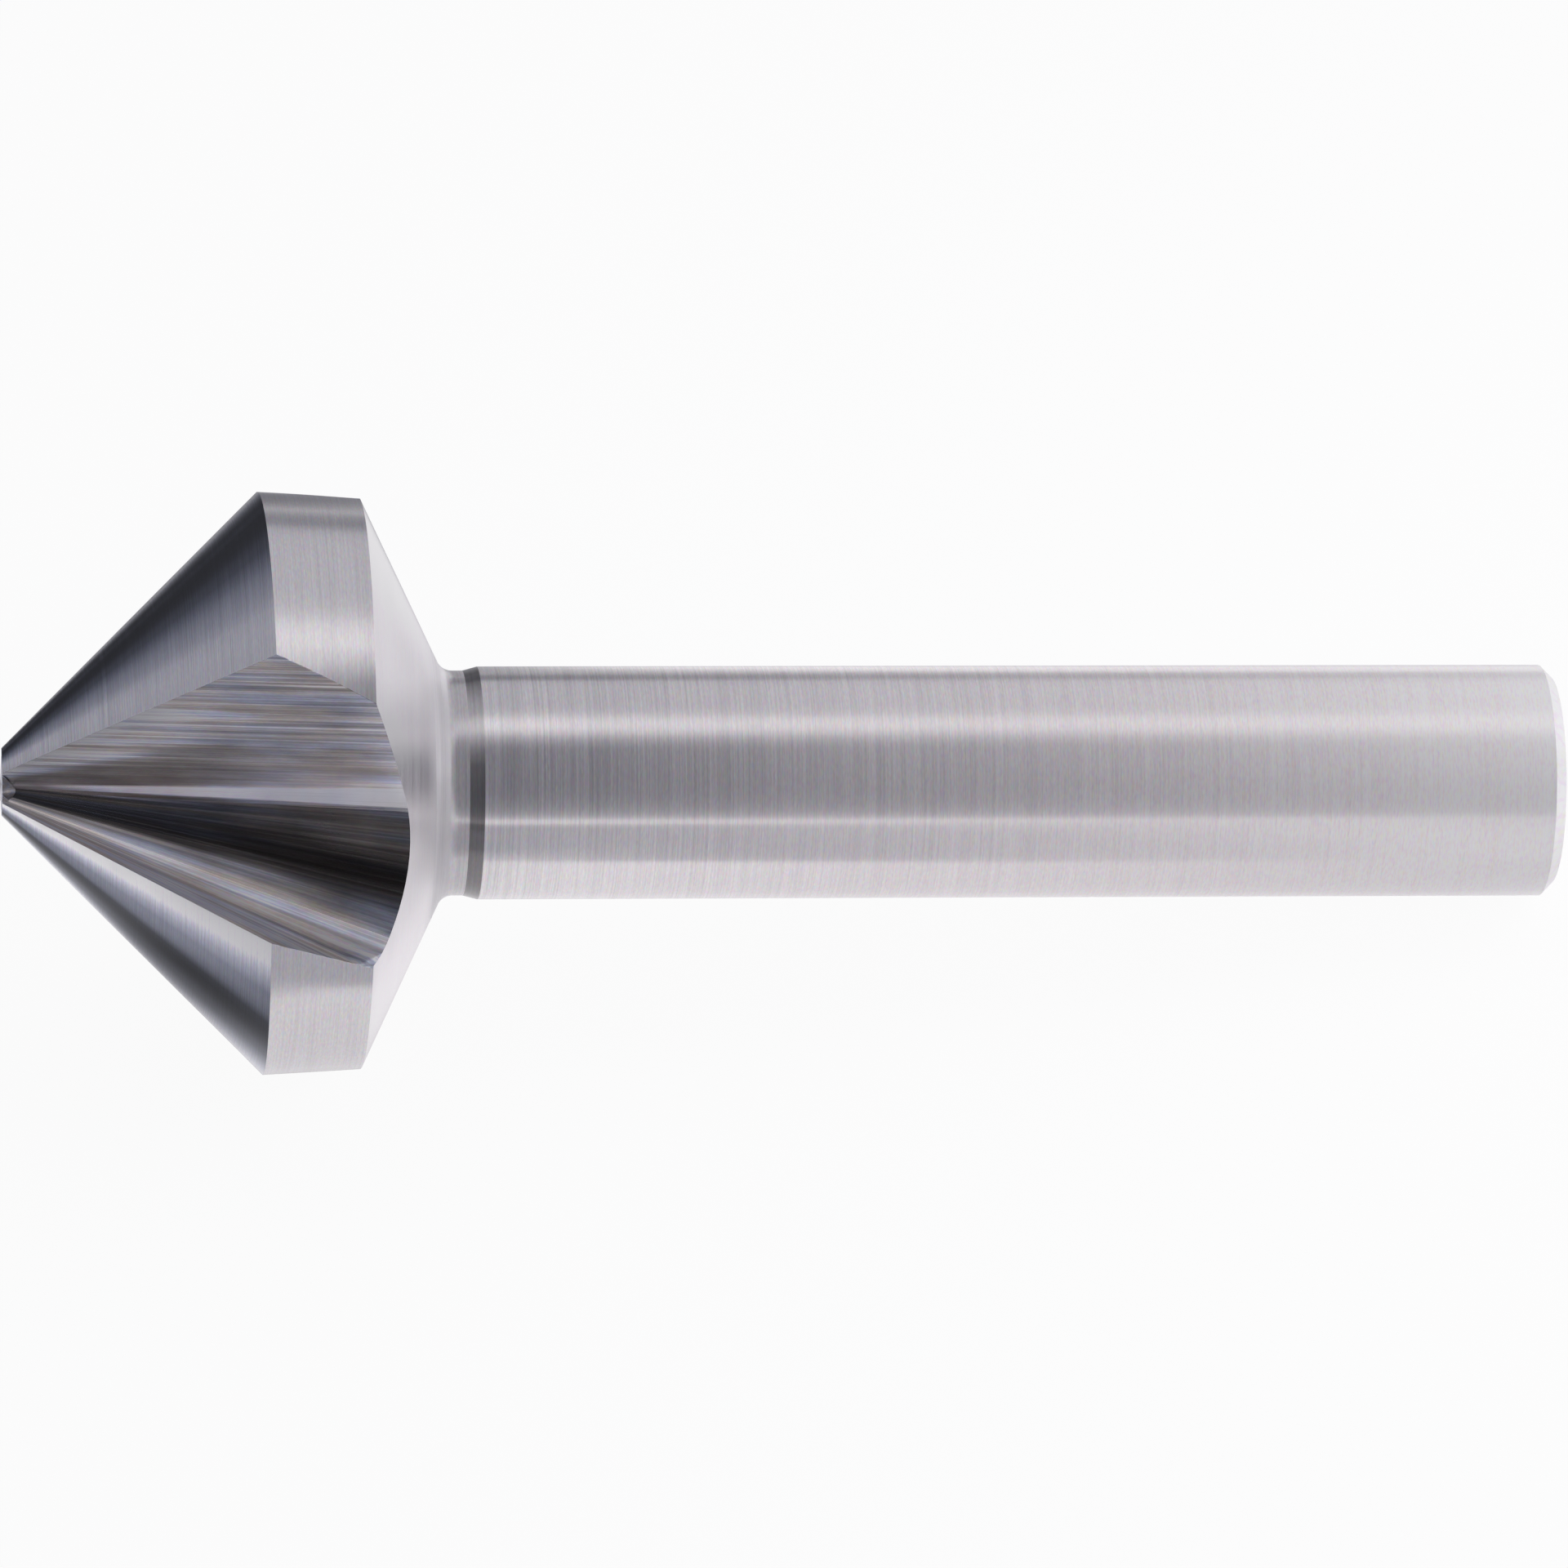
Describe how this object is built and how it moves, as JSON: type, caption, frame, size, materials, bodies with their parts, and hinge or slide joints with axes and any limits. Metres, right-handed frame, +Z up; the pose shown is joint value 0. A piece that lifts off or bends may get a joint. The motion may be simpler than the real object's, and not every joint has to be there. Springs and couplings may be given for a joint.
{
  "type": "countersink bit",
  "caption": "Conical countersink bit with chip flutes, relieved cutting cone, short land, tapered back, undercut neck and plain round shank.",
  "frame": {"origin": "centre of the bounding box's bottom face, on the surface that the bit lies on", "axes": "+X along the bit from its tip towards the end of its shank, level; +Y across it; +Z up. The bit's own axis lies in the XZ plane and leans down towards the shank."},
  "size_m": [0.0672, 0.0249, 0.0239],
  "materials": {
    "ground_steel": "bright ground high speed steel with fine grinding lines"
  },
  "bodies": {
    "root": {"countersink_bit": "ground_steel"}
  },
  "joints": []
}
